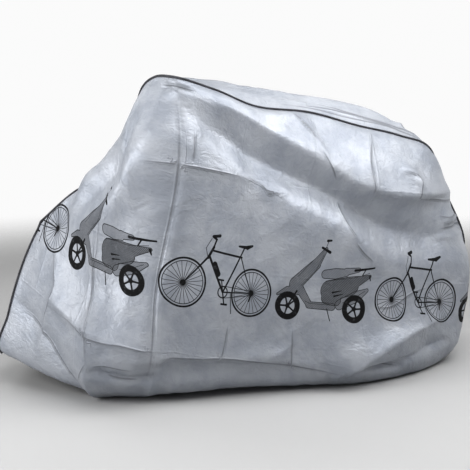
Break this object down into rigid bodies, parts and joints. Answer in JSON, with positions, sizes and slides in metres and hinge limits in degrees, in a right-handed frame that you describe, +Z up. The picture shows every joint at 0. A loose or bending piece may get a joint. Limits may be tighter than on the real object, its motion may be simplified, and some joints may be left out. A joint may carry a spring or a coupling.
{
  "type": "bicycle cover",
  "caption": "Loose silver film cover as it hangs over a bicycle that is left out: printed side panels, the long strip between them and dark bound seams.",
  "frame": {"origin": "on the floor, under the middle of the cover's box", "axes": "+Z up, -X to the cover's front end with the high peak, -Y out of the side that the picture shows"},
  "size_m": [1.8982, 0.8841, 1.1381],
  "materials": {
    "silver_film": "thin silver-grey plastic film with a satin sheen, packing creases and fine crumples; a row of dark line drawings of plain bicycles and scooters is printed along both sides",
    "dark_tape": "narrow matt charcoal woven tape folded round the seam and stitched"
  },
  "bodies": {
    "root": {"side_panel_near": "silver_film", "side_panel_far": "silver_film", "top_strip": "silver_film", "seam_binding_near": "dark_tape", "seam_binding_far": "dark_tape"}
  },
  "joints": []
}
